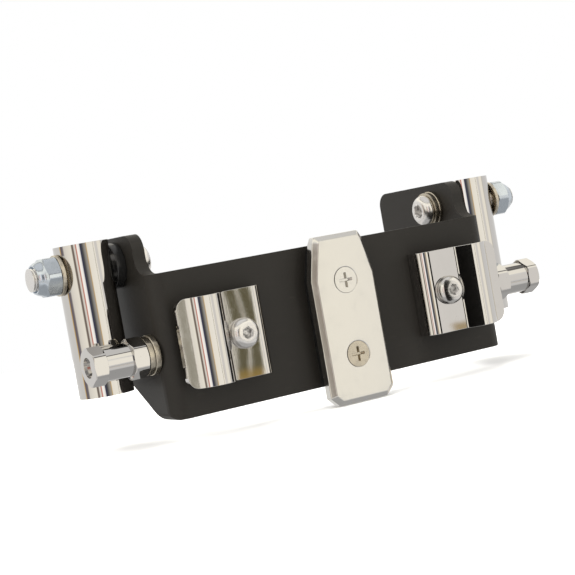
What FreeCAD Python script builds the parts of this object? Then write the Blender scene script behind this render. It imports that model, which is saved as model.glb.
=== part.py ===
"""Four-clamp tube bracket: a folded steel bracket that carries a bevelled face plate,
two front clamp jaws, two swinging side jaws and two catch studs.

Frame: +X to the right, +Y to the rear, +Z up, in millimetres. The origin is the middle of
the back face of the bracket's front plate.
"""
import FreeCAD, Part
import os
import Sketcher

Vector = FreeCAD.Vector
Rotation = FreeCAD.Rotation
doc = FreeCAD.newDocument("tube_bracket")

SIZES = {
    # bracket
    "half_width": 70.0,
    "plate_height": 50.0,
    "sheet": 4.5,
    "bend_inside": 1.5,
    "wing_top": 39.5,
    "wing_rear": 57.0,
    "wing_front": 6.3,
    "wing_corner": 5.5,
    "notch_radius": 6.3,
    "toe_length": 6.5,
    "toe_radius": 4.0,
    "low_corner": 2.8,
    "heel_height": 8.0,
    # face plate on its spacer
    "face_half": 13.2,
    "face_shoulder": 12.3,
    "face_neck": 10.2,
    "face_neck_height": 25.4,
    "face_top": 27.6,
    "face_bottom": 32.3,
    "face_corner": 3.2,
    "face_thick": 5.0,
    "face_bevel": 1.7,
    "spacer_thick": 3.6,
    "spacer_inset": 1.2,
    "upper_screw": 11.0,
    "lower_screw": 15.4,
    "face_shank": 2.5,
    "face_head": 4.7,
    "face_head_deep": 2.3,
    "cross_half": 2.6,
    "cross_wide": 0.9,
    "cross_deep": 1.6,
    "face_nut_flats": 8.0,
    "face_nut_high": 4.0,
    # front clamps
    "clamp_x": 43.2,
    "clamp_half_high": 15.2,
    "clamp_heel": 10.3,
    "clamp_crease": 5.3,
    "clamp_flat": 8.0,
    "clamp_wall": 2.5,
    "clamp_bend": 4.4,
    "arch_half": 7.15,
    "arch_rise": 3.9,
    "lip": 3.8,
    "lip_radius": 4.0,
    "clamp_shank": 3.0,
    "clamp_head": 5.25,
    "clamp_head_high": 3.3,
    "clamp_socket": 4.0,
    "clamp_tail": 8.0,
    "clamp_nut_flats": 10.0,
    "clamp_nut_high": 5.0,
    "clamp_washer": 6.0,
    "clamp_washer_thick": 1.6,
    # side jaws on their pivot bolts
    "pivot_y": 20.8,
    "pivot_z": 30.0,
    "spacer_ring": 8.0,
    "spacer_ring_thick": 3.5,
    "jaw_gap": 1.0,
    "jaw_radius": 9.7,
    "jaw_mouth": 38.4,
    "jaw_wall": 2.5,
    "jaw_top": 39.5,
    "jaw_bottom": 13.2,
    "pivot_shank": 4.0,
    "pivot_head": 5.9,
    "pivot_head_high": 3.6,
    "pivot_socket": 5.0,
    "pivot_washer": 7.1,
    "pivot_washer_thick": 1.4,
    "spring_thick": 1.8,
    "lock_flats": 13.0,
    "lock_high": 8.0,
    "lock_collar_wall": 1.6,
    "insert_deep": 2.4,
    "bolt_tail": 1.4,
    # catch studs
    "stud_y": 4.4,
    "stud_z": 1.9,
    "stud_flats": 13.0,
    "stud_collar": 5.4,
    "stud_barrel": 5.8,
    "stud_barrel_long": 9.4,
    "stud_head": 5.0,
    "stud_head_flats": 12.3,
    "stud_recess": 3.5,
    "stud_recess_deep": 1.2,
    "stud_shank": 3.0,
    "stud_washer": 7.0,
    "stud_washer_thick": 2.1,
    "stud_spring_thick": 2.2,
    "stud_screw_deep": 7.5,
    # clearances
    "bolt_clear": 0.3,
    "thread_clear": 0.05,
    "pivot_clear": 0.08,
    "chamfer": 0.6,
}

sheet = doc.addObject("Spreadsheet::Sheet", "sizes")
for row, (alias, number) in enumerate(SIZES.items(), start=1):
    sheet.set("A%d" % row, alias)
    sheet.set("B%d" % row, str(number))
    sheet.setAlias("B%d" % row, alias)
doc.recompute()

PARTS = []


def expr(text):
    """A sum of size names as an expression on the sheet: "half_width - sheet"."""
    words = []
    for word in text.replace("(", "( ").replace(")", " )").split():
        sign = "-" if word.startswith("-") and len(word) > 1 else ""
        name = word[1:] if sign else word
        words.append(sign + ("sizes." + name if name in SIZES else name))
    return " ".join(words)


def value(text):
    """The number that an expression has now."""
    number = sheet.evalExpression(expr(text))
    return float(getattr(number, "Value", number))


def bind(feature, **sizes):
    """Ties properties of a feature to the sheet; a double underscore stands for a dot."""
    for name, text in sizes.items():
        feature.setExpression(name.replace("__", "."), expr(text))


def finish(feature, label):
    """Names a sub-part and keeps it for writing."""
    feature.Label = label
    PARTS.append(feature)
    return feature


FACING = {
    "+Z": Rotation(),
    "+X": Rotation(Vector(0, 1, 0), 90),
    "-X": Rotation(Vector(0, 1, 0), -90),
    "-Y": Rotation(Vector(1, 0, 0), 90),
    "+Y": Rotation(Vector(1, 0, 0), -90),
}


def place(feature, x, y, z, facing="+Z"):
    """Puts a feature's own origin at a point and turns its own +Z to face a way."""
    feature.Placement = FreeCAD.Placement(Vector(value(x), value(y), value(z)), FACING[facing])
    bind(feature, Placement__Base__x=x, Placement__Base__y=y, Placement__Base__z=z)
    return feature


def origin_plane(body, role):
    return [plane for plane in body.Origin.OriginFeatures if plane.Role == role][0]


def arc_centre(start, end, radius, turn):
    """Centre of the arc from start to end that turns left (+1) or right (-1)."""
    chord = end - start
    middle = (start + end) * 0.5
    normal = Vector(-chord.y, chord.x, 0).normalize()
    rise = max(radius ** 2 - (chord.Length / 2) ** 2, 0.0) ** 0.5
    return middle + normal * (rise * turn)


def outline(sketch, corners):
    """Closes an outline of lines and arcs, each corner tied to the sheet.

    A corner is (x, y), or (x, y, radius, turn) where an arc of that radius comes into it.
    """
    points = [Vector(value(corner[0]), value(corner[1]), 0) for corner in corners]
    count = len(corners)
    ends = []
    for number in range(count):
        start = points[number - 1]
        end = points[number]
        corner = corners[number]
        if len(corner) == 2:
            edge = sketch.addGeometry(Part.LineSegment(start, end), False)
            ends.append((edge, 1, 2))
            continue
        radius = value(corner[2])
        centre = arc_centre(start, end, radius, corner[3])
        circle = Part.Circle(centre, Vector(0, 0, 1), radius)
        first, last = (start, end) if corner[3] > 0 else (end, start)
        arc = Part.ArcOfCircle(circle, circle.parameter(first), circle.parameter(last))
        edge = sketch.addGeometry(arc, False)
        ends.append((edge, 1, 2) if corner[3] > 0 else (edge, 2, 1))
        tie = sketch.addConstraint(Sketcher.Constraint("Radius", edge, radius))
        sketch.setExpression("Constraints[%d]" % tie, expr(corner[2]))
    for number in range(count):
        edge, begin, finish_end = ends[number]
        after = ends[(number + 1) % count]
        sketch.addConstraint(Sketcher.Constraint("Coincident", edge, finish_end, after[0], after[1]))
        for kind, text, size in (("DistanceX", corners[number][0], points[number].x),
                                 ("DistanceY", corners[number][1], points[number].y)):
            tie = sketch.addConstraint(Sketcher.Constraint(kind, -1, 1, edge, finish_end, size))
            sketch.setExpression("Constraints[%d]" % tie, expr(text))


def sketched(name, role, corners):
    """A body with one closed sketch on one of its origin planes."""
    body = doc.addObject("PartDesign::Body", name)
    sketch = body.newObject("Sketcher::SketchObject", name + "_sketch")
    sketch.AttachmentSupport = [(origin_plane(body, role), "")]
    sketch.MapMode = "FlatFace"
    outline(sketch, corners)
    doc.recompute()
    return body, sketch


def padded(name, role, corners, length):
    """An outline padded evenly to both sides of its plane."""
    body, sketch = sketched(name, role, corners)
    pad = body.newObject("PartDesign::Pad", name + "_pad")
    pad.Profile = sketch
    pad.Midplane = True
    bind(pad, Length=length)
    doc.recompute()
    return body


def turned(name, corners):
    """A half section in the XZ plane turned once about Z; its corners are (radius, height)."""
    body, sketch = sketched(name, "XZ_Plane", corners)
    turn = body.newObject("PartDesign::Revolution", name + "_turn")
    turn.Profile = sketch
    turn.ReferenceAxis = (sketch, ["V_Axis"])
    turn.Angle = 360
    doc.recompute()
    return body


def rounded(body, name, radius, picks, along):
    """Fillets the body's straight edges along one axis that pass through the picked corners."""
    tip = body.Tip
    edges = []
    for number, edge in enumerate(tip.Shape.Edges, start=1):
        if edge.Curve.TypeId != "Part::GeomLine":
            continue
        first, last = edge.Vertexes[0].Point, edge.Vertexes[-1].Point
        step = last - first
        if abs(step.dot(along)) < 0.999 * step.Length:
            continue
        for pick in picks:
            gap = pick - first
            if (gap - along * gap.dot(along)).Length < 0.01:
                edges.append("Edge%d" % number)
    if len(edges) < len(picks):
        raise RuntimeError("%s: %d of %d edges found" % (name, len(edges), len(picks)))
    fillet = body.newObject("PartDesign::Fillet", name)
    fillet.Base = (tip, edges)
    bind(fillet, Radius=radius)
    doc.recompute()
    return fillet


def cylinder(name, radius, height):
    piece = doc.addObject("Part::Cylinder", name)
    bind(piece, Radius=radius, Height=height)
    return piece


def box(name, length, width, height):
    piece = doc.addObject("Part::Box", name)
    bind(piece, Length=length, Width=width, Height=height)
    return piece


def hexagon(name, flats, height):
    """A six-sided bar with its corners on its own X axis."""
    piece = doc.addObject("Part::Prism", name)
    piece.Polygon = 6
    bind(piece, Circumradius=flats + " / ( 2 * cos( 30 ) )", Height=height)
    return piece


def cut(name, base, tool):
    piece = doc.addObject("Part::Cut", name)
    piece.Base = base
    piece.Tool = tool
    return piece


def common(name, one, other):
    piece = doc.addObject("Part::Common", name)
    piece.Base = one
    piece.Tool = other
    return piece


def fused(name, pieces):
    piece = doc.addObject("Part::MultiFuse", name)
    piece.Shapes = pieces
    return piece


def group(name, pieces):
    """Identical loose pieces kept as one node of separate solids."""
    piece = doc.addObject("Part::Compound", name)
    piece.Links = pieces
    return piece


def mirrored(source, label):
    """The left-hand twin of a right-hand piece."""
    twin = doc.addObject("Part::Mirroring", label)
    twin.Source = source
    twin.Normal = Vector(1, 0, 0)
    twin.Base = Vector(0, 0, 0)
    return finish(twin, label)


def both_sides(source, name):
    finish(source, "right_" + name)
    return mirrored(source, "left_" + name)


def hex_piece(name, flats, height, bore):
    """A hexagon bar with a bore, its corners turned off at both ends; it sits on z = 0."""
    edge = "( " + flats + " / 2 + chamfer )"
    corners = [
        (bore, "0"),
        (edge + " - chamfer", "0"),
        (edge, "chamfer * 0.6"),
        (edge, height + " - chamfer * 0.6"),
        (edge + " - chamfer", height),
        (bore, height),
    ]
    return common(name, hexagon(name + "_bar", flats, height), turned(name + "_ends", corners))


def washer(name, outside, inside, thick):
    """A flat washer on z = 0 with its outer edges eased."""
    ease = "thread_clear * 4"
    return turned(name, [
        (inside, "0"),
        (outside + " - " + ease, "0"),
        (outside, ease),
        (outside, thick + " - " + ease),
        (outside + " - " + ease, thick),
        (inside, thick),
    ])


def spring_washer(name, outside, inside, thick):
    """A flat ring with one narrow slot through its side."""
    ring = turned(name + "_ring", [(inside, "0"), (outside, "0"), (outside, thick), (inside, thick)])
    slot = box(name + "_slot", outside, "chamfer * 2", thick + " * 3")
    place(slot, "0", "-chamfer", "- ( " + thick + " )")
    return cut(name, ring, slot)


def button_screw(name, head, head_high, shank, length, socket):
    """A button-head socket screw: head above z = 0, shank below it."""
    rim = head_high + " * 0.16"
    crown = head + " * 0.42"
    dome = head + " * 1.12"
    screw = turned(name + "_turned", [
        ("0", "- ( " + length + " )"),
        (shank + " - chamfer", "- ( " + length + " )"),
        (shank, "- ( " + length + " ) + chamfer"),
        (shank, "0"),
        (head, "0"),
        (head, rim),
        (crown, head_high, dome, 1),
        ("0", head_high),
    ])
    key = hexagon(name + "_key", socket, head_high)
    place(key, "0", "0", head_high + " * 0.4")
    return cut(name, screw, key)


# ---------------------------------------------------------------- bracket
def make_bracket():
    wide = "half_width"
    plan = padded("bracket_plan", "XY_Plane", [
        ("-half_width", "-sheet"),
        ("half_width", "-sheet"),
        ("half_width", "wing_rear"),
        ("half_width - sheet", "wing_rear"),
        ("half_width - sheet", "0"),
        ("sheet - half_width", "0"),
        ("sheet - half_width", "wing_rear"),
        ("-half_width", "wing_rear"),
    ], "2 * ( wing_top + plate_height )")
    up = Vector(0, 0, 1)
    outer = value(wide)
    inner = value("half_width - sheet")
    front = -value("sheet")
    rounded(plan, "outer_bends", "bend_inside + sheet",
            [Vector(outer, front, 0), Vector(-outer, front, 0)], up)
    rounded(plan, "inner_bends", "bend_inside", [Vector(inner, 0, 0), Vector(-inner, 0, 0)], up)

    half = "plate_height / 2"
    top = "wing_top"
    side = padded("bracket_side", "YZ_Plane", [
        ("- 2 * sheet", "- " + half),
        ("toe_length", "- " + half),
        ("wing_rear", "heel_height"),
        ("wing_rear", top + " - wing_corner"),
        ("wing_rear - wing_corner", top, "wing_corner", 1),
        ("wing_front + wing_corner", top),
        ("wing_front", top + " - wing_corner", "wing_corner", 1),
        ("wing_front", half + " + notch_radius"),
        ("wing_front - notch_radius", half, "notch_radius", -1),
        ("- 2 * sheet", half),
    ], "2 * half_width + 2 * sheet")
    across = Vector(1, 0, 0)
    low = -value(half)
    rounded(side, "toe_round", "toe_radius", [Vector(0, value("toe_length"), low)], across)
    rounded(side, "heel_round", "wing_corner",
            [Vector(0, value("wing_rear"), value("heel_height"))], across)

    front = padded("bracket_front", "XZ_Plane", [
        ("-half_width", "wing_top + sheet"),
        ("-half_width", "low_corner - " + half),
        ("low_corner - half_width", "- " + half, "low_corner", 1),
        ("half_width - low_corner", "- " + half),
        ("half_width", "low_corner - " + half, "low_corner", 1),
        ("half_width", "wing_top + sheet"),
    ], "4 * wing_rear")
    blank = common("bracket_blank", common("bracket_folded", plan, side), front)
    holes = []
    through = "3 * sheet"
    for number, height in enumerate(("upper_screw", "-lower_screw"), start=1):
        hole = cylinder("face_hole_%d" % number, "face_shank + bolt_clear", through)
        holes.append(place(hole, "0", "sheet", height, "-Y"))
    for name, sign in (("right", ""), ("left", "-")):
        facing = "-Y"
        hole = cylinder(name + "_clamp_hole", "clamp_shank + bolt_clear", through)
        holes.append(place(hole, sign + "clamp_x", "sheet", "0", facing))
        outward = "+X" if sign == "" else "-X"
        start = "half_width - 2 * sheet" if sign == "" else "2 * sheet - half_width"
        hole = cylinder(name + "_pivot_hole", "pivot_shank + bolt_clear", through)
        holes.append(place(hole, start, "pivot_y", "pivot_z", outward))
        hole = cylinder(name + "_stud_hole", "stud_shank + thread_clear", through)
        holes.append(place(hole, start, "stud_y", "-stud_z", outward))
    finish(cut("bracket", blank, fused("bracket_holes", holes)), "bracket")


# ---------------------------------------------------------------- face plate
def face_outline(inset, top, bottom):
    """Coffin outline: parallel sides, tapered shoulders and small lower corners."""
    return [
        ("-face_half + face_corner + " + inset, "-" + bottom),
        ("face_half - face_corner - " + inset, "-" + bottom),
        ("face_half - " + inset, "-" + bottom + " + face_corner"),
        ("face_half - " + inset, "face_shoulder"),
        ("face_neck - " + inset, top + " - ( face_top - face_neck_height )"),
        ("face_neck - face_bevel + 0.5 - " + inset, top),
        ("-face_neck + face_bevel - 0.5 + " + inset, top),
        ("-face_neck + " + inset, top + " - ( face_top - face_neck_height )"),
        ("-face_half + " + inset, "face_shoulder"),
        ("-face_half + " + inset, "-" + bottom + " + face_corner"),
    ]


def make_face_plate():
    body, sketch = sketched("face_blank", "XZ_Plane", face_outline("0", "face_top", "face_bottom"))
    pad = body.newObject("PartDesign::Pad", "face_pad")
    pad.Profile = sketch
    bind(pad, Length="face_thick")
    doc.recompute()
    front = min(pad.Shape.Faces, key=lambda face: face.CenterOfMass.y)
    number = [i for i, face in enumerate(pad.Shape.Faces, start=1) if face.isSame(front)][0]
    bevel = body.newObject("PartDesign::Chamfer", "face_bevel_cut")
    bevel.Base = (pad, ["Face%d" % number])
    bind(bevel, Size="face_bevel")
    doc.recompute()
    seats = []
    for number, height in enumerate(("upper_screw", "-lower_screw"), start=1):
        seat = turned("face_seat_%d" % number, [
            ("0", "- face_thick"),
            ("face_shank + bolt_clear", "- face_thick"),
            ("face_shank + bolt_clear", "- face_head_deep"),
            ("face_head", "0"),
            ("face_head", "sheet"),
            ("0", "sheet"),
        ])
        seats.append(place(seat, "0", "-face_thick", height, "-Y"))
    plate = cut("face_plate", body, fused("face_seats", seats))
    place(plate, "0", "- sheet - spacer_thick", "0")
    finish(plate, "face_plate")


def make_face_spacer():
    body, sketch = sketched("spacer_blank", "XZ_Plane", [
        ("-face_half + spacer_inset", "- plate_height / 2 + spacer_inset"),
        ("face_half - spacer_inset", "- plate_height / 2 + spacer_inset"),
        ("face_half - spacer_inset", "face_shoulder"),
        ("face_neck - spacer_inset", "plate_height / 2 - spacer_inset"),
        ("-face_neck + spacer_inset", "plate_height / 2 - spacer_inset"),
        ("-face_half + spacer_inset", "face_shoulder"),
    ])
    pad = body.newObject("PartDesign::Pad", "spacer_pad")
    pad.Profile = sketch
    bind(pad, Length="spacer_thick")
    doc.recompute()
    holes = []
    for number, height in enumerate(("upper_screw", "-lower_screw"), start=1):
        hole = cylinder("spacer_hole_%d" % number, "face_shank + bolt_clear", "3 * spacer_thick")
        holes.append(place(hole, "0", "spacer_thick", height, "-Y"))
    spacer = cut("face_spacer", body, fused("spacer_holes", holes))
    place(spacer, "0", "-sheet", "0")
    finish(spacer, "face_spacer")


def make_face_screw(label, height):
    reach = "( face_thick + spacer_thick + sheet + face_nut_high + chamfer )"
    body = turned(label + "_turned", [
        ("0", "- " + reach),
        ("face_shank - chamfer", "- " + reach),
        ("face_shank", "- " + reach + " + chamfer"),
        ("face_shank", "- face_head_deep + thread_clear"),
        ("face_head - thread_clear * 2", "-thread_clear"),
        ("0", "-thread_clear"),
    ])
    bars = []
    for turn in (0, 90):
        bar = box(label + "_cross_%d" % turn, "2 * cross_half", "cross_wide", "cross_deep * 2")
        shift = ("-cross_half", "-cross_wide / 2")
        if turn:
            bar = box(label + "_cross_%d" % turn, "cross_wide", "2 * cross_half", "cross_deep * 2")
            shift = ("-cross_wide / 2", "-cross_half")
        bars.append(place(bar, shift[0], shift[1], "-cross_deep"))
    screw = cut(label, body, fused(label + "_cross", bars))
    place(screw, "0", "- sheet - spacer_thick - face_thick", height, "-Y")
    finish(screw, label)


def make_face_nuts():
    nuts = []
    for number, height in enumerate(("upper_screw", "-lower_screw"), start=1):
        nut = hex_piece("face_nut_%d" % number, "face_nut_flats", "face_nut_high",
                        "face_shank + thread_clear")
        nuts.append(place(nut, "0", "0", height, "+Y"))
    finish(group("face_plate_nuts", nuts), "face_plate_nuts")


# ---------------------------------------------------------------- front clamps
def make_front_jaw():
    """Right-hand jaw: heel on the plate, flat land for the screw, arch over the tube, lip."""
    face = "- sheet"
    land = face + " - clamp_flat"
    under = land + " + clamp_wall"
    heel = "clamp_x - clamp_heel"
    start = "clamp_x + clamp_crease"
    middle = start + " + arch_half"
    radius = "( ( arch_half * arch_half + arch_rise * arch_rise ) / ( 2 * arch_rise ) )"
    inner = "( " + radius + " - clamp_wall )"
    drop = "( " + radius + " - arch_rise + clamp_wall )"
    reach = "sqrt( " + inner + " * " + inner + " - " + drop_rise() + " * " + drop_rise() + " )"
    bend_in = "( clamp_bend - clamp_wall + 0.6 )"
    body = padded("jaw_profile", "XY_Plane", [
        (heel, face),
        (heel, land + " + clamp_bend"),
        (heel + " + clamp_bend", land, "clamp_bend", 1),
        (start, land),
        (middle + " + arch_half", land, radius, 1),
        (middle + " + arch_half + lip", land),
        (middle + " + arch_half + lip", under),
        (middle + " + " + reach, under),
        (middle + " - " + reach, under, inner, -1),
        (heel + " + clamp_wall + " + bend_in, under),
        (heel + " + clamp_wall", under + " + " + bend_in, bend_in, -1),
        (heel + " + clamp_wall", face),
    ], "2 * clamp_half_high")
    mask = padded("jaw_mask", "XZ_Plane", [
        (heel + " - clamp_wall", "- clamp_half_high"),
        (middle + " + arch_half + lip - lip_radius", "- clamp_half_high"),
        (middle + " + arch_half + lip", "- clamp_half_high + lip_radius", "lip_radius", 1),
        (middle + " + arch_half + lip", "clamp_half_high - lip_radius"),
        (middle + " + arch_half + lip - lip_radius", "clamp_half_high", "lip_radius", 1),
        (heel + " - clamp_wall", "clamp_half_high"),
    ], "10 * clamp_flat")
    hole = cylinder("jaw_hole", "clamp_shank + thread_clear", "2 * clamp_flat")
    place(hole, "clamp_x", face, "0", "-Y")
    both_sides(cut("jaw", common("jaw_trimmed", body, mask), hole), "front_jaw")


def drop_rise():
    """How far the arch's centre lies under the land's underside."""
    radius = "( ( arch_half * arch_half + arch_rise * arch_rise ) / ( 2 * arch_rise ) )"
    return "( " + radius + " - arch_rise - clamp_wall )"


def make_front_fasteners():
    grip = "clamp_flat + sheet + clamp_washer_thick + clamp_nut_high + chamfer"
    for side, sign in (("right", ""), ("left", "-")):
        screw = button_screw(side + "_front_screw", "clamp_head", "clamp_head_high", "clamp_shank",
                             "( " + grip + " )", "clamp_socket")
        place(screw, sign + "clamp_x", "- sheet - clamp_flat", "0", "-Y")
        finish(screw, side + "_front_screw")
        ring = washer(side + "_front_washer", "clamp_washer", "clamp_shank + bolt_clear",
                      "clamp_washer_thick")
        finish(place(ring, sign + "clamp_x", "0", "0", "+Y"), side + "_front_washer")
        nut = hex_piece(side + "_front_nut", "clamp_nut_flats", "clamp_nut_high",
                        "clamp_shank + thread_clear")
        finish(place(nut, sign + "clamp_x", "clamp_washer_thick", "0", "+Y"), side + "_front_nut")


# ---------------------------------------------------------------- side jaws
JAW_AXIS = "half_width + spacer_ring_thick + jaw_gap + jaw_radius * cos( jaw_mouth )"
JAW_CROWN = JAW_AXIS + " + jaw_radius"


def ring_point(radius, angle):
    """A point round the side jaw's own axis; the angle is in degrees from the outward way."""
    turn = "( " + angle + " )"
    return (JAW_AXIS + " + " + radius + " * cos( " + turn + " )",
            "pivot_y + " + radius + " * sin( " + turn + " )")


def make_side_jaw():
    """Right-hand jaw: a round C with its mouth towards the wing, bored for its pivot bolt."""
    inner = "( jaw_radius - jaw_wall )"
    mouth = "180 - jaw_mouth"
    corners = [ring_point("jaw_radius", "- ( " + mouth + " )")]
    for angle in ("-90", "0", "90", mouth):
        corners.append((*ring_point("jaw_radius", angle), "jaw_radius", 1))
    corners.append(ring_point(inner, mouth))
    for angle in ("90", "0", "-90", "- ( " + mouth + " )"):
        corners.append((*ring_point(inner, angle), inner, -1))
    jaw, sketch = sketched("side_jaw_profile", "XY_Plane", corners)
    pad = jaw.newObject("PartDesign::Pad", "side_jaw_pad")
    pad.Profile = sketch
    bind(pad, Length="jaw_top + jaw_bottom")
    doc.recompute()
    place(jaw, "0", "0", "-jaw_bottom")
    hole = cylinder("side_jaw_hole", "pivot_shank + pivot_clear", "3 * jaw_radius")
    place(hole, JAW_AXIS + " - jaw_radius", "pivot_y", "pivot_z", "+X")
    both_sides(cut("side_jaw_bored", jaw, hole), "side_jaw")


def make_pivots():
    under_head = "half_width - sheet - pivot_washer_thick - spring_thick"
    nut_seat = JAW_CROWN + " + pivot_washer_thick"
    length = "( " + nut_seat + " + lock_high + bolt_tail - ( " + under_head + " ) )"
    bolt = button_screw("pivot_bolt", "pivot_head", "pivot_head_high", "pivot_shank", length,
                        "pivot_socket")
    both_sides(place(bolt, under_head, "pivot_y", "pivot_z", "-X"), "pivot_bolt")

    flat = washer("inner_washer", "pivot_washer", "pivot_shank + bolt_clear", "pivot_washer_thick")
    place(flat, "half_width - sheet", "pivot_y", "pivot_z", "-X")
    both_sides(flat, "pivot_inner_washer")
    split = spring_washer("inner_spring", "pivot_washer - bolt_clear", "pivot_shank + bolt_clear",
                          "spring_thick")
    place(split, "half_width - sheet - pivot_washer_thick", "pivot_y", "pivot_z", "-X")
    both_sides(split, "pivot_spring_washer")

    ring = washer("spacer_ring_blank", "spacer_ring", "pivot_shank + bolt_clear",
                  "spacer_ring_thick")
    both_sides(place(ring, "half_width", "pivot_y", "pivot_z", "+X"), "pivot_spacer")

    outer = washer("outer_washer", "pivot_washer", "pivot_shank + thread_clear",
                   "pivot_washer_thick")
    both_sides(place(outer, JAW_CROWN, "pivot_y", "pivot_z", "+X"), "jaw_washer")
    make_lock_nut(nut_seat)


def make_lock_nut(seat):
    """A hexagon nut whose turned collar holds a nylon ring."""
    edge = "( lock_flats / 2 + chamfer )"
    shoulder = "lock_high - insert_deep"
    bore = "pivot_shank + thread_clear"
    collar = "( pivot_shank + lock_collar_wall )"
    pocket = "( " + collar + " - 1 )"
    ends = turned("lock_ends", [
        (bore, "0"),
        (edge + " - chamfer", "0"),
        (edge, "chamfer * 0.6"),
        (edge, shoulder + " - 0.9"),
        (collar + " + 0.4", shoulder + " + 0.2"),
        (collar, "lock_high - 1.0"),
        (collar + " - 0.6", "lock_high"),
        (pocket + " - 0.1", "lock_high"),
        (pocket, "lock_high - 0.4"),
        (pocket, shoulder),
        (bore, shoulder),
    ])
    nut = common("lock_nut", hexagon("lock_bar", "lock_flats", "lock_high"), ends)
    nut.Placement = FreeCAD.Placement(Vector(), FACING["+X"].multiply(Rotation(Vector(0, 0, 1), 30)))
    bind(nut, Placement__Base__x=seat, Placement__Base__y="pivot_y", Placement__Base__z="pivot_z")
    both_sides(nut, "lock_nut")
    insert = turned("nylon_insert", [
        (bore, "0"),
        (pocket, "0"),
        (pocket, "insert_deep - 0.4"),
        (bore + " + 0.3", "insert_deep - 0.4"),
        (bore, "insert_deep - 0.7"),
    ])
    place(insert, seat + " + " + shoulder, "pivot_y", "pivot_z", "+X")
    both_sides(insert, "nylon_insert")


# ---------------------------------------------------------------- catch studs
def make_studs():
    y, z = "stud_y", "-stud_z"
    wing = "half_width"
    flat = washer("stud_flat", "stud_washer", "stud_shank + bolt_clear", "stud_washer_thick")
    both_sides(place(flat, wing, y, z, "+X"), "stud_washer")
    split = spring_washer("stud_split", "stud_washer - bolt_clear", "stud_shank + bolt_clear",
                          "stud_spring_thick")
    seat = wing + " + stud_washer_thick"
    both_sides(place(split, seat, y, z, "+X"), "stud_spring_washer")

    seat = seat + " + stud_spring_thick"
    tail = "( stud_washer_thick + stud_spring_thick + sheet )"
    collar = hex_piece("stud_collar_hex", "stud_flats", "stud_collar", "0.5")
    core = turned("stud_core", [
        ("0", "- " + tail),
        ("stud_shank - chamfer", "- " + tail),
        ("stud_shank", "- " + tail + " + chamfer"),
        ("stud_shank", "0"),
        ("stud_barrel", "0"),
        ("stud_barrel", "stud_collar + stud_barrel_long"),
        ("stud_shank + thread_clear", "stud_collar + stud_barrel_long"),
        ("stud_shank + thread_clear", "stud_collar + stud_barrel_long - stud_screw_deep - chamfer"),
        ("0", "stud_collar + stud_barrel_long - stud_screw_deep - chamfer"),
    ])
    post = fused("stud_post", [collar, core])
    both_sides(place(post, seat, y, z, "+X"), "stud_post")

    head = hex_piece("stud_head_hex", "stud_head_flats", "stud_head", "0.5")
    shank = turned("stud_screw_core", [
        ("0", "-stud_screw_deep"),
        ("stud_shank - chamfer", "-stud_screw_deep"),
        ("stud_shank", "-stud_screw_deep + chamfer"),
        ("stud_shank", "0"),
        ("stud_shank + chamfer", "0"),
        ("stud_shank + chamfer", "stud_head - chamfer"),
        ("0", "stud_head - chamfer"),
    ])
    recess = cylinder("stud_end_recess", "stud_recess", "stud_head")
    place(recess, "0", "0", "stud_head - stud_recess_deep")
    screw = cut("stud_screw", fused("stud_screw_solid", [head, shank]), recess)
    end = seat + " + stud_collar + stud_barrel_long"
    both_sides(place(screw, end, y, z, "+X"), "stud_screw")


def check_and_write():
    """Refuses failed features and empty shapes, then writes one file for each sub-part."""
    doc.recompute()
    failed = [item.Label for item in doc.Objects if {"Invalid", "Error"} & set(item.State)]
    if failed:
        raise RuntimeError("failed features: " + ", ".join(failed))
    for piece in PARTS:
        if piece.Shape.isNull() or not piece.Shape.isValid() or not piece.Shape.Solids:
            raise RuntimeError("bad shape: " + piece.Label)
    os.makedirs("parts", exist_ok=True)
    for piece in PARTS:
        piece.Shape.exportStep("parts/" + piece.Label + ".step")
    print("%d sub-parts" % len(PARTS))


make_bracket()
make_face_plate()
make_face_spacer()
make_face_screw("face_plate_upper_screw", "upper_screw")
make_face_screw("face_plate_lower_screw", "-lower_screw")
make_face_nuts()
make_front_jaw()
make_front_fasteners()
make_side_jaw()
make_pivots()
make_studs()
check_and_write()
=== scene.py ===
"""Looks of the tube clamp bracket: folded black steel, plated jaws, studs and screws."""

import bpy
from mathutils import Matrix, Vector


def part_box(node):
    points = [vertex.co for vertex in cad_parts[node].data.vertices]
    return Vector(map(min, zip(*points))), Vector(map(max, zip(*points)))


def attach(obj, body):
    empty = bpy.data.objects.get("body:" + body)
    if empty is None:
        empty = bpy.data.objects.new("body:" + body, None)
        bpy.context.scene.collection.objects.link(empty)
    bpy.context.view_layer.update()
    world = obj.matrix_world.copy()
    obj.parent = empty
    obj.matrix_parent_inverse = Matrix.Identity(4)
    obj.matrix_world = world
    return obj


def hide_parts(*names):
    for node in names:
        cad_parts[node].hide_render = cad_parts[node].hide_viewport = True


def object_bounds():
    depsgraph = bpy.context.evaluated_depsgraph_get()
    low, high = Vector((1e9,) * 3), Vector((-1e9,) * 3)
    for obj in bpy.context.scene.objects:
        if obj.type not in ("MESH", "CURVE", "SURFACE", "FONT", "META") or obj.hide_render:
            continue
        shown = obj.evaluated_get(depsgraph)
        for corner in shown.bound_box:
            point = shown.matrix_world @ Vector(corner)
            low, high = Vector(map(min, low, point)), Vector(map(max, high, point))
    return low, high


bl_info = {
    "name": "Tube Clamp Bracket",
    "version": (1, 0, 0),
    "blender": (4, 5, 0),
    "location": "View3D > Sidebar > Bracket",
    "description": "Builds the pieces of a folded steel tube clamp bracket around its frame",
    "category": "Object",
}

import math

import bmesh
import bpy
from bpy.props import FloatProperty, FloatVectorProperty, PointerProperty
from mathutils import Matrix, Vector

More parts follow.
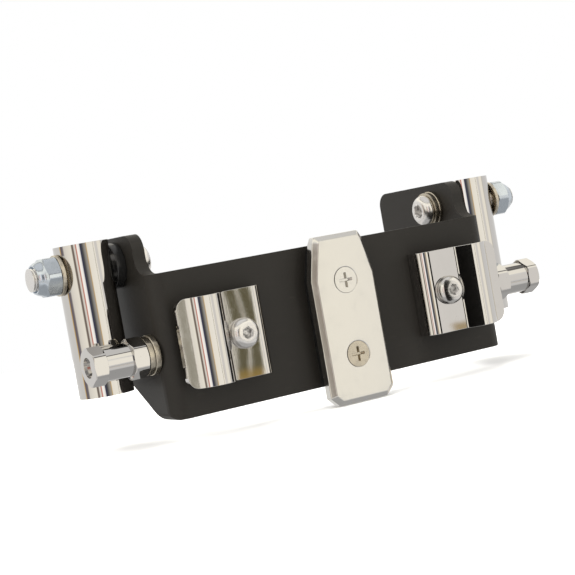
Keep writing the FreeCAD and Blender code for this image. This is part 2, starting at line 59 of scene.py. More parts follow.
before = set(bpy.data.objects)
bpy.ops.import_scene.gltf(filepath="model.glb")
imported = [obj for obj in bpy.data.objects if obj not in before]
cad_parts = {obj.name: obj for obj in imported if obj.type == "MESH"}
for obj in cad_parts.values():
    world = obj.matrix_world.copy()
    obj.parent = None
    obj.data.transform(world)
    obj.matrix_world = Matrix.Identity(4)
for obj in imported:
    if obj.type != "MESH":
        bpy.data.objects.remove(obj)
CAD_BOX = [list(corner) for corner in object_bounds()]

SIDES = (("left", -1), ("right", 1))

# Lengths are in metres, spins in radians and other angles in degrees. A grip is the plain
# share of a screw's length, and a spring's rise is its share of the washer's thickness.
RING = 48
SMOOTH_ANGLE = 38.0
MERGE = 0.000002
FLAT_ANGLE = 0.6
FRONT_HEAD_HIGH = 0.0033
FRONT_SHANK = 0.003
FRONT_GRIP = 0.45
FRONT_SPIN = 0.2
PIVOT_HEAD_HIGH = 0.0036
PIVOT_SHANK = 0.004
PIVOT_GRIP = 0.70
PIVOT_SPIN = 0.3
SPRING_WIDE = 0.0046
SPRING_TURN = 346
SPRING_STEPS = 44
SPRING_RISE = 0.16
SPRING_EDGE = 0.00012
SPRING_SPIN = 1.9


def node_size(node):
    """Size of a frame node along each axis."""
    low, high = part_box(node)
    return Vector(high) - Vector(low)


def node_middle(node):
    """Middle of a frame node's box."""
    low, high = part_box(node)
    return (Vector(high) + Vector(low)) / 2


# ---------------------------------------------------------------- sizes and colours
class BracketSizes(bpy.types.PropertyGroup):
    steel_edge: FloatProperty(
        name="Steel edge", description="Rounding of the folded steel's cut edges",
        default=0.0004, unit="LENGTH")
    plate_edge: FloatProperty(
        name="Plated edge", description="Rounding of the jaws' edges",
        default=0.0003, unit="LENGTH")
    face_edge: FloatProperty(
        name="Face plate edge", description="Rounding of the face plate's bevels",
        default=0.0005, unit="LENGTH")
    nut_edge: FloatProperty(
        name="Nut edge", description="Rounding of the nuts' and washers' edges",
        default=0.00015, unit="LENGTH")
    front_head: FloatProperty(
        name="Front screw head", description="Diameter of the front clamps' button heads",
        default=node_size("left_front_screw").x, unit="LENGTH")
    front_socket: FloatProperty(
        name="Front screw key", description="Width across flats of the front screws' sockets",
        default=0.004, unit="LENGTH")
    pivot_head: FloatProperty(
        name="Pivot bolt head", description="Diameter of the pivot bolts' button heads",
        default=node_size("left_pivot_bolt").y, unit="LENGTH")
    pivot_socket: FloatProperty(
        name="Pivot bolt key", description="Width across flats of the pivot bolts' sockets",
        default=0.005, unit="LENGTH")
    thread_pitch: FloatProperty(
        name="Thread pitch", description="Distance between the crests of the screw threads",
        default=0.001, unit="LENGTH")


class BracketColours(bpy.types.PropertyGroup):
    steel: FloatVectorProperty(
        name="Coated steel", description="Satin black coat of the folded bracket",
        default=(0.0125, 0.0110, 0.0090), subtype="COLOR")
    worn_steel: FloatVectorProperty(
        name="Worn edge", description="Coat thinned over the bracket's edges",
        default=(0.055, 0.050, 0.044), subtype="COLOR")
    chrome: FloatVectorProperty(
        name="Chrome", description="Bright plating of the jaws and studs",
        default=(0.585, 0.570, 0.550), subtype="COLOR")
    satin_chrome: FloatVectorProperty(
        name="Satin chrome", description="Softer plating of the face plate",
        default=(0.655, 0.640, 0.605), subtype="COLOR")
    zinc: FloatVectorProperty(
        name="Zinc", description="Blue-white plating of nuts",
        default=(0.56, 0.61, 0.66), subtype="COLOR")
    nickel: FloatVectorProperty(
        name="Nickel", description="Warm plating of washers",
        default=(0.54, 0.49, 0.40), subtype="COLOR")
    nylon: FloatVectorProperty(
        name="Nylon", description="Ring in the lock nuts' collars",
        default=(0.42, 0.55, 0.70), subtype="COLOR")
    black: FloatVectorProperty(
        name="Black plastic", description="Spacers behind the face plate and the side jaws",
        default=(0.008, 0.008, 0.008), subtype="COLOR")


# ---------------------------------------------------------------- shader writing
class Value:
    """A shader socket that takes part in plain arithmetic."""

    def __init__(self, graph, socket):
        self.graph = graph
        self.socket = socket

    def _math(self, operation, first, second):
        return self.graph.value("ShaderNodeMath", {"operation": operation}, {0: first, 1: second})

    def __add__(self, other):
        return self._math("ADD", self, other)

    __radd__ = __add__

    def __sub__(self, other):
        return self._math("SUBTRACT", self, other)

    def __rsub__(self, other):
        return self._math("SUBTRACT", other, self)

    def __mul__(self, other):
        return self._math("MULTIPLY", self, other)

    __rmul__ = __mul__

    def __truediv__(self, other):
        return self._math("DIVIDE", self, other)

    def smooth(self, low, high):
        """0 below low, 1 above high, eased between."""
        return self.graph.value(
            "ShaderNodeMapRange", {"interpolation_type": "SMOOTHSTEP"},
            {"Value": self, "From Min": low, "From Max": high})


class Graph:
    """Builds one material's or the world's nodes."""

    def __init__(self, tree):
        self.tree = tree
        self.tree.nodes.clear()

    def node(self, kind, settings, inputs):
        node = self.tree.nodes.new(kind)
        for key, setting in settings.items():
            if key == "stops":
                self.set_stops(node.color_ramp, setting)
            else:
                setattr(node, key, setting)
        for key, given in inputs.items():
            if isinstance(given, Value):
                self.tree.links.new(given.socket, node.inputs[key])
            else:
                node.inputs[key].default_value = given
        return node

    def set_stops(self, ramp, stops):
        while len(ramp.elements) < len(stops):
            ramp.elements.new(1.0)
        for element, (place, colour) in zip(ramp.elements, stops):
            element.position = place
            element.color = (*colour, 1.0)

    def value(self, kind, settings, inputs, output=0):
        return Value(self, self.node(kind, settings, inputs).outputs[output])

    def place(self, stretch=(1.0, 1.0, 1.0)):
        """Object coordinates in metres, squeezed along an axis by a factor below 1."""
        spot = self.value("ShaderNodeTexCoord", {}, {}, "Object")
        return self.value("ShaderNodeMapping", {}, {"Vector": spot, "Scale": stretch})

    def noise(self, place, scale, detail=3.0, rough=0.5):
        return self.value("ShaderNodeTexNoise", {},
                          {"Vector": place, "Scale": scale, "Detail": detail, "Roughness": rough})

    def mix(self, factor, first, second):
        return self.value("ShaderNodeMix", {"data_type": "RGBA"},
                          {0: factor, 6: first, 7: second}, 2)

    def bump(self, height, distance, strength=1.0, under=None):
        inputs = {"Height": height, "Distance": distance, "Strength": strength}
        if under is not None:
            inputs["Normal"] = under
        return self.value("ShaderNodeBump", {}, inputs)


def opaque(colour):
    return (*colour, 1.0)


def scaled(colour, factor):
    return tuple(part * factor for part in colour)


def new_finish(name):
    """An empty material and the graph that fills it."""
    material = bpy.data.materials.new(name)
    material.use_nodes = True
    return material, Graph(material.node_tree)


def surface(graph, inputs):
    """Ends a material in one shader with the given inputs."""
    shader = graph.value("ShaderNodeBsdfPrincipled", {}, inputs, "BSDF")
    graph.node("ShaderNodeOutputMaterial", {}, {"Surface": shader})


def coated_steel(colours):
    """Satin powder coat: fine orange peel, faint handling marks, edges where the coat is thin."""
    material, graph = new_finish("coated_steel")
    spot = graph.place()
    peel = graph.noise(spot, 1500.0, 2.0)
    cloud = graph.noise(spot, 38.0, 4.0)
    scuff = graph.noise(graph.place((0.25, 1.0, 1.0)), 420.0, 5.0, 0.7).smooth(0.60, 0.74)
    worn = graph.value("ShaderNodeAttribute", {"attribute_name": "worn"}, {}, "Fac")
    chips = worn * graph.noise(spot, 700.0, 3.0).smooth(0.30, 0.62)
    coat = graph.mix(cloud, opaque(scaled(colours.steel, 0.85)),
                     opaque(scaled(colours.steel, 1.25)))
    tinted = graph.mix(scuff * 0.30, coat, opaque(scaled(colours.steel, 2.6)))
    edged = graph.mix(chips, tinted, opaque(colours.worn_steel))
    surface(graph, {
        "Base Color": edged,
        "Roughness": 0.36 + cloud * 0.16 + peel * 0.06 - chips * 0.08,
        "Specular IOR Level": 0.27,
        "Normal": graph.bump(peel, 0.00004, 0.55),
    })
    return material


def plated(name, colour, smoothness, haze, grain, ripple):
    """Bright plating: slow ripples of the metal under it, wiped haze and fine polishing lines."""
    material, graph = new_finish(name)
    spot = graph.place()
    wave = graph.noise(spot, 70.0, 2.0)
    marks = graph.noise(spot, 150.0, 5.0, 0.62).smooth(0.50, 0.85)
    lines = graph.noise(graph.place((1.0, 1.0, 0.03)), 5200.0, 2.0)
    pits = graph.noise(spot, 2600.0, 1.0).smooth(0.74, 0.82)
    tint = graph.mix(marks * 0.18, opaque(colour), opaque(scaled(colour, 0.82)))
    dusty = graph.mix(pits * 0.5, tint, opaque(scaled(colour, 0.45)))
    rippled = graph.bump(wave, ripple)
    surface(graph, {
        "Base Color": dusty,
        "Metallic": 1.0,
        "Roughness": smoothness + marks * haze + lines * grain + pits * 0.15,
        "Normal": graph.bump(lines, 0.0000006, 0.5, rippled),
    })
    return material


def turned_metal(name, colour, smoothness, haze):
    """Plated hardware: grains of the zinc crystals, dull patches and worn edges."""
    material, graph = new_finish(name)
    spot = graph.place()
    crystal = graph.value("ShaderNodeTexVoronoi", {"feature": "F1"},
                          {"Vector": spot, "Scale": 1900.0}, "Distance")
    dull = graph.noise(spot, 260.0, 5.0, 0.6).smooth(0.40, 0.78)
    wave = graph.noise(spot, 240.0, 2.0)
    worn = graph.value("ShaderNodeAttribute", {"attribute_name": "worn"}, {}, "Fac")
    tint = graph.mix(dull * 0.35, opaque(colour), opaque(scaled(colour, 0.72)))
    edged = graph.mix(worn * 0.5, tint, opaque(scaled(colour, 1.18)))
    rippled = graph.bump(wave, 0.00002)
    surface(graph, {
        "Base Color": edged,
        "Metallic": 1.0,
        "Roughness": smoothness + dull * haze + crystal * 0.05,
        "Normal": graph.bump(crystal, 0.000002, 0.4, rippled),
    })
    return material


DUST = (0.30, 0.29, 0.27)


def moulded(name, colour, smoothness, peel):
    """Moulded plastic: soft flow marks, a fine skin and dust."""
    material, graph = new_finish(name)
    spot = graph.place()
    flow = graph.noise(graph.place((1.0, 1.0, 0.3)), 180.0, 3.0)
    skin = graph.noise(spot, 2100.0, 2.0)
    dust = graph.noise(spot, 1100.0, 4.0, 0.7).smooth(0.66, 0.78)
    tint = graph.mix(flow, opaque(scaled(colour, 0.8)), opaque(scaled(colour, 1.2)))
    dusted = graph.mix(dust * 0.12, tint, opaque(DUST))
    surface(graph, {
        "Base Color": dusted,
        "Roughness": smoothness + flow * 0.12 + dust * 0.2,
        "Normal": graph.bump(skin, peel, 0.4),
    })
    return material


def recess_painted_shade(colours):
    """Walls of a pressed socket: grey and streaked along the punch, with patches of a much darker
    copy of the chrome that are painted shade inside the socket as well as a little grease.
    """
    material, graph = new_finish("recess_painted_shade")
    streak = graph.noise(graph.place((1.0, 0.2, 1.0)), 1600.0, 3.0)
    shade_and_grease = graph.noise(graph.place(), 700.0, 3.0).smooth(0.35, 0.70)
    # A lighter and a much darker copy of the chrome, mixed in patches: the dark patches are painted
    # shade in the recess as well as grease.
    tint = graph.mix(shade_and_grease, opaque(scaled(colours.chrome, 1.25)),
                     opaque(scaled(colours.chrome, 0.30)))
    surface(graph, {
        "Base Color": tint,
        "Metallic": 0.30,
        "Roughness": 0.22 + streak * 0.25,
        "Normal": graph.bump(streak, 0.00002, 0.6),
    })
    return material


FINISHES = {}


def finishes():
    """Every finish by its name, made once: the record's slots, the sockets and the screws."""
    if not FINISHES:
        colours = bpy.context.scene.bracket_colours
        FINISHES.update({
            "black_steel": coated_steel(colours),
            "bright_chrome": plated("bright_chrome", colours.chrome, 0.015, 0.03, 0.01, 0.000003),
            "face_chrome": plated("face_chrome", colours.satin_chrome, 0.13, 0.08, 0.05, 0.00001),
            "black_plastic": moulded("black_plastic", colours.black, 0.16, 0.00002),
            "zinc_steel": turned_metal("zinc_steel", colours.zinc, 0.14, 0.16),
            "nickel_steel": turned_metal("nickel_steel", colours.nickel, 0.20, 0.16),
            "nylon": moulded("nylon", colours.nylon, 0.34, 0.00003),
            "recess": recess_painted_shade(colours),
            "screw_chrome": plated("screw_chrome", scaled(colours.chrome, 1.22), 0.24, 0.08,
                                   0.02, 0.000003),
        })
    return FINISHES


# ---------------------------------------------------------------- piece making
def new_object(name, bm):
    """Moves a bmesh into a mesh object of the scene."""
    mesh = bpy.data.meshes.new(name)
    bm.to_mesh(mesh)
    bm.free()
    made = bpy.data.objects.new(name, mesh)
    bpy.context.scene.collection.objects.link(made)
    return made


def keep(bm, name, body, slot, nodes, recess=False, finish=None):
    """Turns a finished bmesh into a piece that rides on a body and stands for frame nodes."""
    piece = new_object(name, bm)
    mesh = piece.data
    mesh.shade_smooth()
    mesh.set_sharp_from_angle(angle=math.radians(SMOOTH_ANGLE))
    weighted = piece.modifiers.new("even_shading", "WEIGHTED_NORMAL")
    weighted.keep_sharp = True
    mesh.materials.append(finishes()[finish or slot])
    if recess:
        mesh.materials.append(finishes()["recess"])
    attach(piece, body)
    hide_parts(*nodes)
    return piece


def eased(name, node, body, slot, width, segments=2, sharp=32.0):
    """The frame node's own shape with its edges rounded and marked as worn."""
    bm = bmesh.new()
    bm.from_mesh(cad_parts[node].data)
    bmesh.ops.remove_doubles(bm, verts=bm.verts, dist=MERGE)
    bmesh.ops.dissolve_limit(bm, angle_limit=math.radians(FLAT_ANGLE), verts=bm.verts,
                             edges=bm.edges)
    worn = bm.faces.layers.float.new("worn")
    edges = [edge for edge in bm.edges
             if edge.is_manifold and edge.calc_face_angle() > math.radians(sharp)]
    made = bmesh.ops.bevel(bm, geom=edges, offset=width, segments=segments, profile=0.5,
                           affect="EDGES", material=-1, clamp_overlap=True)
    for face in made["faces"]:
        face[worn] = 1.0
    return keep(bm, name, body, slot, [node])


def ring(bm, radius, height, segments):
    """A circle of edges round the Z axis."""
    made = bmesh.ops.create_circle(bm, segments=segments, radius=radius)
    bmesh.ops.translate(bm, verts=made["verts"], vec=(0, 0, height))
    return list({edge for vert in made["verts"] for edge in vert.link_edges})


def extruded(bm, edges):
    """Extrudes edges on the spot and gives the new vertices and the edges between them."""
    made = bmesh.ops.extrude_edge_only(bm, edges=edges)["geom"]
    verts = [item for item in made if isinstance(item, bmesh.types.BMVert)]
    rim = [item for item in made if isinstance(item, bmesh.types.BMEdge)
           and all(vert in verts for vert in item.verts)]
    return verts, rim


def grow(bm, edges, steps, start):
    """Extrudes a closed loop through (radius, height) steps round the Z axis."""
    radius, height = start
    for new_radius, new_height in steps:
        verts, edges = extruded(bm, edges)
        ratio = new_radius / radius
        bmesh.ops.scale(bm, vec=(ratio, ratio, 1.0), verts=verts)
        bmesh.ops.translate(bm, vec=(0, 0, new_height - height), verts=verts)
        radius, height = new_radius, new_height
    return edges


def quarter(start, end, count, bulge_first=True):
    """Steps along a quarter ellipse from start to end, leaving along the radius or the axis."""
    steps = []
    for number in range(1, count + 1):
        turn = math.pi / 2 * number / count
        along, across = math.sin(turn), 1 - math.cos(turn)
        if not bulge_first:
            along, across = across, along
        steps.append((start[0] + (end[0] - start[0]) * along,
                      start[1] + (end[1] - start[1]) * across))
    return steps


def thread(radius, top, bottom, pitch):
    """Steps down a threaded shank, one crest to a pitch."""
    steps = []
    root = radius - pitch * 0.42
    height = top
    while height - pitch > bottom:
        steps += [(radius, height - pitch * 0.12), (root, height - pitch * 0.5),
                  (radius, height - pitch * 0.88)]
        height -= pitch
    steps.append((radius, height - pitch * 0.05))
    return steps


def facing(axis):
    """Turns the Z axis to an axis of the frame."""
    return Vector((0, 0, 1)).rotation_difference(Vector(axis)).to_matrix().to_4x4()


def settle(bm, place, axis, spin=0.0):
    """Closes the seams, points the faces outwards and puts the piece in its place."""
    bmesh.ops.remove_doubles(bm, verts=bm.verts, dist=0.000001)
    bmesh.ops.recalc_face_normals(bm, faces=bm.faces)
    turn = Matrix.Translation(place) @ facing(axis) @ Matrix.Rotation(spin, 4, "Z")
    bmesh.ops.transform(bm, matrix=turn, verts=bm.verts)


def button_screw(head, high, shank, length, key, grip, pitch):
    """A button head with a hexagon socket, a plain neck and a threaded end."""
    bm = bmesh.new()
    worn = bm.faces.layers.float.new("worn")
    radius = head / 2
    crown = radius * 0.50
    corner = key / math.sqrt(3)
    hexagon = ring(bm, corner, high, 6)
    bmesh.ops.subdivide_edges(bm, edges=hexagon, cuts=RING // 6 - 1)
    rim = bm.edges[:]
    floor = grow(bm, rim, [(corner * 0.94, high - 0.0003), (corner * 0.94, high * 0.38),
                           (corner * 0.30, high * 0.30)], (corner, high))
    bmesh.ops.contextual_create(bm, geom=floor)
    verts, outer = extruded(bm, rim)
    for vert in verts:
        vert.co.xy = vert.co.xy.normalized() * crown
    skirt = (radius, high * 0.22)
    steps = quarter((crown, high), skirt, 9) + quarter(skirt, (radius - 0.0003, 0.0), 3, False)
    steps += [(shank + 0.0001, 0.0), (shank, -0.0002), (shank, -grip)]
    steps += thread(shank, -grip, -length, pitch)
    steps += [(shank * 0.86, -length)]
    end = grow(bm, outer, steps, (crown, high))
    bmesh.ops.contextual_create(bm, geom=end)
    # Socket faces take the recess finish, whose dark patches are painted shade in the socket as
    # well as grease.
    for face in bm.faces:
        spot = face.calc_center_median()
        socket = spot.z > high * 0.25 and math.hypot(spot.x, spot.y) < key * 0.56
        face.material_index = 1 if socket else 0
    return bm


# ---------------------------------------------------------------- operators
class BRACKET_OT_steel(bpy.types.Operator):
    """Folded steel bracket with rounded, slightly worn edges"""
    bl_idname = "bracket.steel"
    bl_label = "Folded steel"

    def execute(self, context):
        sizes = context.scene.bracket_sizes
        eased("folded_bracket", "bracket", "frame", "black_steel", sizes.steel_edge, 3)
        return {"FINISHED"}


class BRACKET_OT_face(bpy.types.Operator):
    """Bevelled face plate, its spacer, its two screws and their nuts"""
    bl_idname = "bracket.face"
    bl_label = "Face plate"

    def execute(self, context):
        sizes = context.scene.bracket_sizes
        eased("bevelled_face_plate", "face_plate", "frame", "face_chrome", sizes.face_edge, 4, 20.0)
        eased("face_plate_spacer", "face_spacer", "frame", "black_plastic", sizes.nut_edge)
        for piece, slot in (("upper", "face_chrome"), ("lower", "nickel_steel")):
            node = "face_plate_%s_screw" % piece
            eased(piece + "_cross_screw", node, "frame", slot, sizes.nut_edge * 0.8)
        eased("face_screw_nuts", "face_plate_nuts", "frame", "zinc_steel", sizes.nut_edge)
        return {"FINISHED"}


class BRACKET_OT_front_clamps(bpy.types.Operator):
    """Front clamp jaws with their socket screws, washers and nuts"""
    bl_idname = "bracket.front_clamps"
    bl_label = "Front clamps"

    def execute(self, context):
        sizes = context.scene.bracket_sizes
        for side, sign in SIDES:
            eased(side + "_arched_jaw", side + "_front_jaw", side + "_front_clamp",
                  "bright_chrome", sizes.plate_edge, 3)
            node = side + "_front_screw"
            low, high = (Vector(corner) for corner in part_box(node))
            middle = node_middle(node)
            under = low.y + FRONT_HEAD_HIGH
            length = high.y - under
            bm = button_screw(sizes.front_head, FRONT_HEAD_HIGH, FRONT_SHANK, length,
                              sizes.front_socket, length * FRONT_GRIP, sizes.thread_pitch)
            settle(bm, Vector((middle.x, under, middle.z)), (0, -1, 0), FRONT_SPIN * sign)
            keep(bm, side + "_clamp_screw", side + "_front_bolt", "bright_chrome", [node],
                 recess=True, finish="screw_chrome")
            for kind in ("washer", "nut"):
                eased("%s_clamp_%s" % (side, kind), "%s_front_%s" % (side, kind), "frame",
                      "zinc_steel", sizes.nut_edge)
        return {"FINISHED"}


class BRACKET_OT_side_jaws(bpy.types.Operator):
    """Round jaws that swing at the bracket's sides"""
    bl_idname = "bracket.side_jaws"
    bl_label = "Side jaws"

    def execute(self, context):
        sizes = context.scene.bracket_sizes
        for side, _ in SIDES:
            eased(side + "_round_jaw", side + "_side_jaw", side + "_swing_jaw",
                  "bright_chrome", sizes.plate_edge, 3)
        return {"FINISHED"}


class BRACKET_OT_pivots(bpy.types.Operator):
    """Pivot bolts with their washers, spacer rings and lock nuts"""
    bl_idname = "bracket.pivots"
    bl_label = "Pivots"

    def execute(self, context):
        sizes = context.scene.bracket_sizes
        for side, sign in SIDES:
            node = side + "_pivot_bolt"
            low, high = (Vector(corner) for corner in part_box(node))
            middle = node_middle(node)
            inner, tip = (low.x, high.x) if sign > 0 else (high.x, low.x)
            under = inner + sign * PIVOT_HEAD_HIGH
            length = abs(tip - under)
            bm = button_screw(sizes.pivot_head, PIVOT_HEAD_HIGH, PIVOT_SHANK, length,
                              sizes.pivot_socket, length * PIVOT_GRIP, sizes.thread_pitch)
            settle(bm, Vector((under, middle.y, middle.z)), (-sign, 0, 0), PIVOT_SPIN)
            keep(bm, side + "_swing_bolt", "frame", "bright_chrome", [node], recess=True,
                 finish="screw_chrome")
            eased(side + "_bolt_washer", side + "_pivot_inner_washer", "frame", "nickel_steel",
                  sizes.nut_edge)
            split_ring(side + "_bolt_spring", side + "_pivot_spring_washer", sign)
            eased(side + "_spacer_ring", side + "_pivot_spacer", "frame", "black_plastic",
                  sizes.plate_edge)
            for piece, node, body, slot in (
                    ("_nut_washer", "_jaw_washer", "_washer_carrier", "nickel_steel"),
                    ("_collared_nut", "_lock_nut", "_nut_body", "zinc_steel"),
                    ("_nylon_ring", "_nylon_insert", "_nut_body", "nylon")):
                eased(side + piece, side + node, side + body, slot, sizes.nut_edge)
        return {"FINISHED"}


def split_ring(name, node, sign):
    """A spring washer: a flat bar wound once, its cut ends a little apart."""
    size = node_size(node)
    outside = max(size.y, size.z) / 2
    thick = size.x
    bm = bmesh.new()
    bm.faces.layers.float.new("worn")
    made = bmesh.ops.create_grid(bm, x_segments=1, y_segments=1, size=0.5)
    bmesh.ops.scale(bm, vec=(SPRING_WIDE, thick * (1 - SPRING_RISE), 1.0), verts=made["verts"])
    bmesh.ops.rotate(bm, cent=(0, 0, 0), verts=made["verts"],
                     matrix=Matrix.Rotation(math.pi / 2, 3, "X"))
    bmesh.ops.translate(bm, vec=(outside - SPRING_WIDE / 2, 0, -thick * SPRING_RISE / 2),
                        verts=made["verts"])
    bmesh.ops.spin(bm, geom=bm.faces[:] + bm.edges[:] + bm.verts[:], cent=(0, 0, 0),
                   axis=(0, 0, 1), angle=math.radians(SPRING_TURN), steps=SPRING_STEPS,
                   dvec=(0, 0, thick * SPRING_RISE / SPRING_STEPS), use_duplicate=False)
    bmesh.ops.contextual_create(bm, geom=[edge for edge in bm.edges if edge.is_boundary])
    bmesh.ops.recalc_face_normals(bm, faces=bm.faces)
    edges = [edge for edge in bm.edges
             if edge.is_manifold and edge.calc_face_angle() > math.radians(40)]
    bmesh.ops.bevel(bm, geom=edges, offset=SPRING_EDGE, segments=2, profile=0.5,
                    affect="EDGES", material=-1)
    settle(bm, node_middle(node), (sign, 0, 0), SPRING_SPIN)
    keep(bm, name, "frame", "nickel_steel", [node])


class BRACKET_OT_studs(bpy.types.Operator):
    """Hexagon studs with their washers and end screws"""
    bl_idname = "bracket.studs"
    bl_label = "Catch studs"

    def execute(self, context):
        sizes = context.scene.bracket_sizes
        for side, sign in SIDES:
            for piece, node, slot in (
                    ("_collared_stud", "_stud_post", "bright_chrome"),
                    ("_stud_cap", "_stud_screw", "bright_chrome"),
                    ("_stud_flat_washer", "_stud_washer", "nickel_steel")):
                eased(side + piece, side + node, "frame", slot, sizes.nut_edge)
            split_ring(side + "_stud_spring", side + "_stud_spring_washer", sign)
        return {"FINISHED"}


# ---------------------------------------------------------------- stage
# The surround is the light from all round: colours by degrees round from the X axis.
WHITE = (0.90, 0.89, 0.88)
CREAM = (1.30, 1.24, 1.10)
SURROUND = (
    (-180, (1.15, 1.10, 1.00)),
    (-154, CREAM),
    (-151, (0.30, 0.26, 0.22)),
    (-145, (0.26, 0.20, 0.17)),
    (-142, (1.05, 1.00, 0.92)),
    (-137, (1.15, 1.10, 1.00)),
    (-134, (0.62, 0.12, 0.08)),
    (-131.5, (1.10, 0.60, 0.48)),
    (-129, (1.60, 1.58, 1.52)),
    (-120, (1.30, 1.28, 1.25)),
    (-117, (0.05, 0.055, 0.12)),
    (-108, (0.12, 0.12, 0.12)),
    (-101, (0.42, 0.40, 0.37)),
    (-95, (0.55, 0.52, 0.46)),
    (-92, (0.80, 0.50, 0.16)),
    (-89, CREAM),
    (-66, (1.35, 1.30, 1.18)),
    (-57.6, (1.36, 1.30, 1.16)),
    (-56.0, (1.02, 0.99, 0.95)),
    (-46, (1.00, 0.97, 0.93)),
    (-42, CREAM),
    (-28, CREAM),
    (-24, (0.80, 0.76, 0.68)),
    (-20, WHITE),
    (60, WHITE),
    (148, (0.95, 0.94, 0.92)),
    (152, (0.90, 0.60, 0.20)),
    (156, (0.22, 0.19, 0.22)),
    (168, (0.26, 0.23, 0.25)),
    (173, (1.10, 1.05, 0.95)),
)
# Windows are low, high and softness, in degrees or in rise: an olive curtain with a bright gap
# in it, a thin one beside it, and gold benches low down, each a window across by one in height.
# They are placed for this stage's camera, and from other sides the plating shows other bands.
OLIVE = (0.17, 0.150, 0.085)
GOLD = (0.46, 0.31, 0.09)
CURTAIN = (-62.74, -61.70, 0.03)
GAP = (-62.26, -62.19, 0.02)
THIN_CURTAIN = (-64.74, -64.30, 0.05)
THIN_CURTAIN_SHARE = 0.75
BENCHES = (
    (CURTAIN, (-0.093, -0.0835, 0.003)),
    ((-55.0, -54.1, 0.1), (-0.086, -0.0775, 0.002)),
    ((24, 52, 3.0), (-0.120, -0.094, 0.006)),
)
BENCH_SHARE = 0.8
# Layers are windows in rise with a colour. Only reflections show them.
LAYERS = (
    (0.46, 0.74, 0.02, (1.32, 1.27, 1.14)),
    (0.74, 0.80, 0.01, (0.20, 0.19, 0.18)),
    (0.80, 1.10, 0.02, (0.86, 0.85, 0.84)),
    (-0.302, -0.284, 0.004, (0.16, 0.15, 0.14)),
    (-0.388, -0.372, 0.004, (0.62, 0.42, 0.18)),
    (-1.10, -0.62, 0.05, (0.50, 0.50, 0.50)),
)


def window(value, low, high, soft):
    """1 between low and high, eased at both ends."""
    return value.smooth(low - soft, low + soft) * (1 - value.smooth(high - soft, high + soft))


def make_surround():
    """Upright and level bands that the plating reflects, and plain white behind the object."""
    world = bpy.data.worlds.new("studio")
    bpy.context.scene.world = world
    world.use_nodes = True
    graph = Graph(world.node_tree)
    way = graph.node("ShaderNodeTexCoord", {}, {}).outputs["Generated"]
    parts = graph.node("ShaderNodeSeparateXYZ", {}, {"Vector": Value(graph, way)})
    east, north, rise = (Value(graph, parts.outputs[axis]) for axis in ("X", "Y", "Z"))
    turn = graph.value("ShaderNodeMath", {"operation": "ARCTAN2"}, {0: north, 1: east})
    degrees = turn * (180 / math.pi)
    share = turn / (2 * math.pi) + 0.5
    stops = [((angle + 180) / 360, colour) for angle, colour in SURROUND]
    bands = graph.value("ShaderNodeValToRGB", {"stops": stops}, {"Fac": share}, "Color")
    curtain = window(degrees, *CURTAIN) * (1 - window(degrees, *GAP))
    curtain = curtain + window(degrees, *THIN_CURTAIN) * THIN_CURTAIN_SHARE
    shaded = graph.mix(curtain, bands, opaque(OLIVE))
    bench = sum(window(degrees, *across) * window(rise, *level) for across, level in BENCHES)
    edged = graph.mix(bench * BENCH_SHARE, shaded, opaque(GOLD))
    below = graph.mix((0 - rise).smooth(0.13, 0.20), edged, opaque(WHITE))
    ceiling = graph.mix(rise.smooth(0.25, 0.50), below, (1.05, 1.04, 1.02, 1.0))
    glossy = graph.value("ShaderNodeLightPath", {}, {}, "Is Glossy Ray")
    for low, high, soft, colour in LAYERS:
        ceiling = graph.mix(window(rise, low, high, soft) * glossy, ceiling, opaque(colour))
    seen = graph.value("ShaderNodeLightPath", {}, {}, "Is Camera Ray")
    shown = graph.mix(seen, ceiling, (1.0, 1.0, 1.0, 1.0))
    shader = graph.value("ShaderNodeBackground", {}, {"Color": shown, "Strength": 1.0})
    graph.node("ShaderNodeOutputWorld", {}, {"Surface": shader})


FLAG_START = (0.038, -0.017, -0.045)
FLAG_END = (0.062, -0.050, -0.045)
FLAG_HIGH = 0.064


def make_flag():
    """A dark flag beside the right clamp that only its reflections show."""
    bm = bmesh.new()
    ends = [bm.verts.new(FLAG_START), bm.verts.new(FLAG_END)]
    raised, _ = extruded(bm, [bm.edges.new(ends)])
    bmesh.ops.translate(bm, vec=(0, 0, FLAG_HIGH), verts=raised)
    flag = new_object("dark_flag", bm)
    material, graph = new_finish("flag_cloth")
    weave = graph.noise(graph.place(), 900.0, 3.0)
    surface(graph, {"Base Color": graph.mix(weave, (0.006, 0.006, 0.006, 1.0),
                                            (0.012, 0.011, 0.010, 1.0)),
                    "Roughness": 0.9 + weave * 0.1, "Specular IOR Level": 0.1})
    flag.data.materials.append(material)
    for way in ("camera", "diffuse", "shadow", "transmission", "volume_scatter"):
        setattr(flag, "visible_" + way, False)


TABLE_RADIUS = 0.52
TABLE_MIDDLE = 0.06
TABLE_GAP = 0.0002


def make_floor():
    """A round pale table top under the object. Reflections leave it out."""
    bm = bmesh.new()
    bmesh.ops.create_circle(bm, cap_ends=True, segments=96, radius=TABLE_RADIUS)
    bmesh.ops.translate(bm, vec=(0, TABLE_MIDDLE, CAD_BOX[0][2] - TABLE_GAP), verts=bm.verts)
    table = new_object("table_top", bm)
    material, graph = new_finish("pale_table")
    fibre = graph.noise(graph.place(), 60.0, 4.0)
    surface(graph, {
        "Base Color": graph.mix(fibre, (0.90, 0.90, 0.89, 1.0), (0.93, 0.93, 0.92, 1.0)),
        "Roughness": 0.85 + fibre * 0.1,
    })
    table.data.materials.append(material)
    table.visible_glossy = False


LIGHTS = (
    ("overhead", (-0.10, 0.10, 1.10), (1.10, 0.90), 15.0, (1.0, 0.99, 0.97)),
    ("key", (-0.95, -0.55, 0.75), (0.55, 0.70), 6.0, (1.0, 0.98, 0.95)),
    ("fill", (0.95, -0.70, 0.45), (0.45, 0.60), 3.5, (1.0, 0.99, 0.98)),
    ("behind", (0.20, 1.00, 0.65), (0.90, 0.50), 4.0, (1.0, 1.0, 1.0)),
)


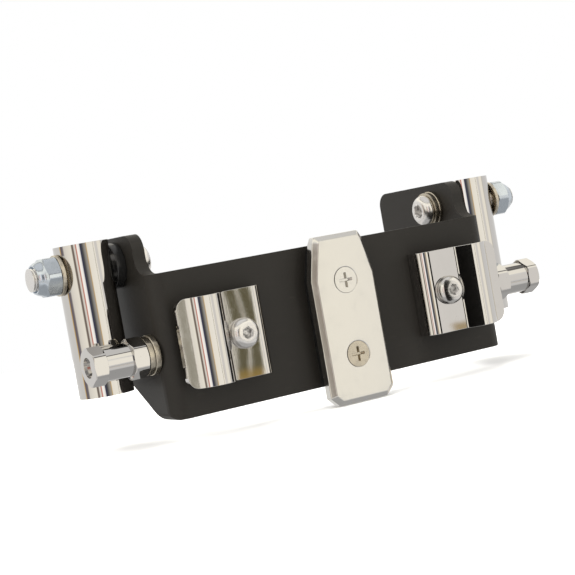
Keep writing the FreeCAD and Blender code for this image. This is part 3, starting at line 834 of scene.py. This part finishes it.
def add_light(name, place, size, power, colour):
    """A soft panel of light that faces the object. Reflections leave it out."""
    lamp = bpy.data.lights.new(name, "AREA")
    lamp.shape = "RECTANGLE"
    lamp.size, lamp.size_y = size
    lamp.energy = power
    lamp.color = colour
    panel = bpy.data.objects.new(name, lamp)
    panel.location = place
    panel.rotation_euler = (-Vector(place)).to_track_quat("-Z", "Y").to_euler()
    panel.visible_glossy = False
    bpy.context.scene.collection.objects.link(panel)


CAMERA_PLACE = (-0.28565, -0.47621, 0.03079)
CAMERA_TURN = (29.49, 1.99, 10.03)
CAMERA_LENS = 96.93


def add_camera():
    """The view from the front left, turned a little about its own axis."""
    lens = bpy.data.cameras.new("camera")
    lens.lens = CAMERA_LENS
    lens.sensor_width = 36.0
    lens.clip_start = 0.01
    camera = bpy.data.objects.new("camera", lens)
    yaw, pitch, roll = (math.radians(angle) for angle in CAMERA_TURN)
    ahead = Vector((math.sin(yaw) * math.cos(pitch), math.cos(yaw) * math.cos(pitch),
                    -math.sin(pitch)))
    right = Vector((math.cos(yaw), -math.sin(yaw), 0))
    up = right.cross(ahead)
    across = right * math.cos(roll) - up * math.sin(roll)
    upward = right * math.sin(roll) + up * math.cos(roll)
    turn = Matrix((across, upward, -ahead)).transposed().to_4x4()
    camera.matrix_world = Matrix.Translation(CAMERA_PLACE) @ turn
    bpy.context.scene.collection.objects.link(camera)
    bpy.context.scene.camera = camera


class BRACKET_OT_stage(bpy.types.Operator):
    """Pale table, studio surround, soft lights and camera"""
    bl_idname = "bracket.stage"
    bl_label = "Stage"

    def execute(self, context):
        make_surround()
        make_floor()
        make_flag()
        for light in LIGHTS:
            add_light(*light)
        add_camera()
        context.scene.view_settings.view_transform = "Standard"
        context.scene.view_settings.look = "None"
        return {"FINISHED"}


OPERATORS = (
    BRACKET_OT_steel,
    BRACKET_OT_face,
    BRACKET_OT_front_clamps,
    BRACKET_OT_side_jaws,
    BRACKET_OT_pivots,
    BRACKET_OT_studs,
    BRACKET_OT_stage,
)


class BRACKET_PT_panel(bpy.types.Panel):
    """The bracket's sizes, colours and pieces"""
    bl_idname = "BRACKET_PT_panel"
    bl_label = "Tube Clamp Bracket"
    bl_space_type = "VIEW_3D"
    bl_region_type = "UI"
    bl_category = "Bracket"

    def draw(self, context):
        layout = self.layout
        for group in (context.scene.bracket_sizes, context.scene.bracket_colours):
            box = layout.box()
            for name in group.bl_rna.properties.keys():
                if name not in ("rna_type", "name"):
                    box.prop(group, name)
        for operator in OPERATORS:
            layout.operator(operator.bl_idname)


CLASSES = (BracketSizes, BracketColours, *OPERATORS, BRACKET_PT_panel)


def register():
    for item in CLASSES:
        bpy.utils.register_class(item)
    bpy.types.Scene.bracket_sizes = PointerProperty(type=BracketSizes)
    bpy.types.Scene.bracket_colours = PointerProperty(type=BracketColours)


def unregister():
    del bpy.types.Scene.bracket_colours
    del bpy.types.Scene.bracket_sizes
    for item in reversed(CLASSES):
        bpy.utils.unregister_class(item)


def main():
    register()
    bpy.ops.bracket.steel()
    bpy.ops.bracket.face()
    bpy.ops.bracket.front_clamps()
    bpy.ops.bracket.side_jaws()
    bpy.ops.bracket.pivots()
    bpy.ops.bracket.studs()
    bpy.ops.bracket.stage()


if __name__ == "__main__":
    main()
